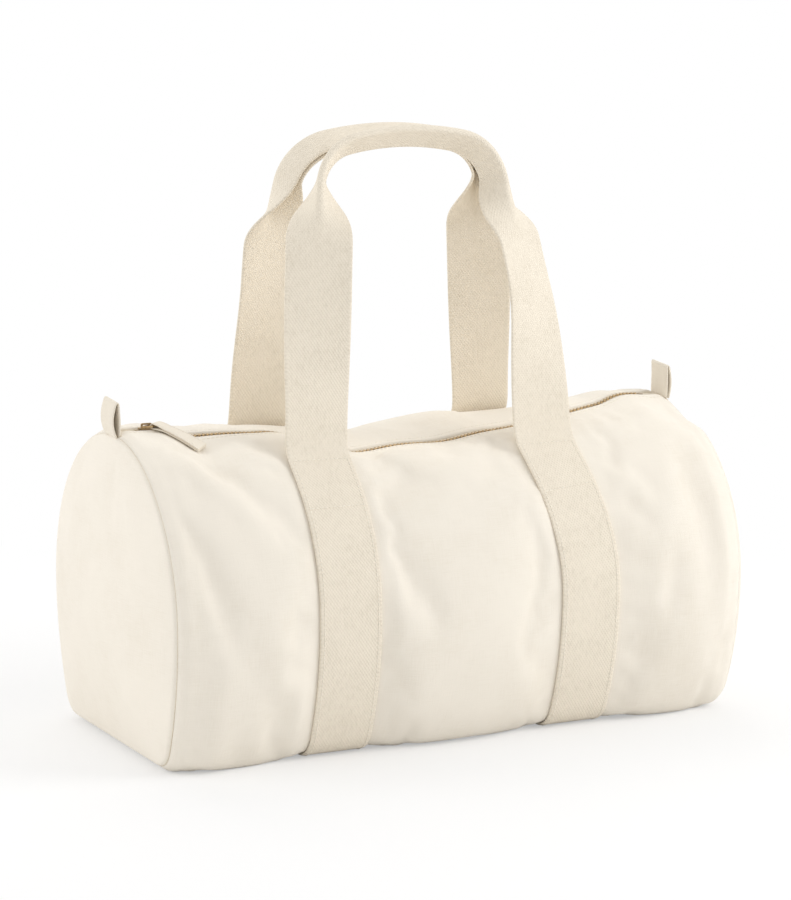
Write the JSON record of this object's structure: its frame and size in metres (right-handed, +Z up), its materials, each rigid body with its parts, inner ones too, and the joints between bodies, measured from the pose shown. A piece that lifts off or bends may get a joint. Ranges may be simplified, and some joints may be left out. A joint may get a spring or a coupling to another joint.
{
  "type": "barrel bag",
  "caption": "Soft canvas barrel bag with a zip along the top, folded webbing carry handles on straps that run under the base, and a fabric loop at each end.",
  "frame": {"origin": "on the floor, under the middle of the bag", "axes": "+X along the barrel to the right end, -Y is the front, +Z up"},
  "size_m": [0.486, 0.2528, 0.4592],
  "materials": {
    "canvas": "matte woven cotton canvas",
    "webbing": "matte twill-woven cotton webbing",
    "zip_tape": "matte woven tape",
    "seam_binding": "matte woven cotton tape",
    "zip_metal": "dull antique brass"
  },
  "bodies": {
    "bag": {"body_panel": "canvas", "front_top_stop": "zip_metal", "front_zip_tape": "zip_tape", "front_zip_teeth": "zip_metal", "left_end_panel": "canvas", "left_seam_binding": "seam_binding", "left_strap": "webbing", "rear_top_stop": "zip_metal", "rear_zip_tape": "zip_tape", "rear_zip_teeth": "zip_metal", "right_end_panel": "canvas", "right_seam_binding": "seam_binding", "right_strap": "webbing", "zip_bottom_stop": "zip_metal"},
    "front_handle": {"front_handle": "webbing"},
    "rear_handle": {"rear_handle": "webbing"},
    "slider": {"zip_slider": "zip_metal"},
    "pull_ring": {"zip_pull_ring": "zip_metal"},
    "puller": {"fabric_puller": "canvas"},
    "left_loop": {"left_end_loop": "canvas"},
    "right_loop": {"right_end_loop": "canvas"}
  },
  "joints": [
    {"name": "front_handle_hinge", "type": "hinge", "parent": "bag", "child": "front_handle", "pos_m": [0, -0.06528, 0.22314], "axis": [1, 0, 0], "range_deg": [0, 129]},
    {"name": "rear_handle_hinge", "type": "hinge", "parent": "bag", "child": "rear_handle", "pos_m": [0, 0.06528, 0.22314], "axis": [-1, 0, 0], "range_deg": [0, 129]},
    {"name": "zip_slide", "type": "slide", "parent": "bag", "child": "slider", "axis": [1, 0, 0], "range_m": [0, 0.4162], "deforming": ["front_zip_teeth", "rear_zip_teeth"]},
    {"name": "pull_ring_swing", "type": "hinge", "parent": "slider", "child": "pull_ring", "pos_m": [-0.2081, 0, 0.23995], "axis": [-0.766, -0.6428, 0], "range_deg": [0, 80]},
    {"name": "puller_swing", "type": "hinge", "parent": "pull_ring", "child": "puller", "pos_m": [-0.20262, -0.00653, 0.24114], "axis": [-0.766, -0.6428, 0], "range_deg": [0, 60]},
    {"name": "left_loop_bend", "type": "hinge", "parent": "bag", "child": "left_loop", "pos_m": [-0.235, 0, 0.24045], "axis": [0, 1, 0], "range_deg": [-80, 30]},
    {"name": "right_loop_bend", "type": "hinge", "parent": "bag", "child": "right_loop", "pos_m": [0.235, 0, 0.24045], "axis": [0, -1, 0], "range_deg": [-80, 30]}
  ]
}
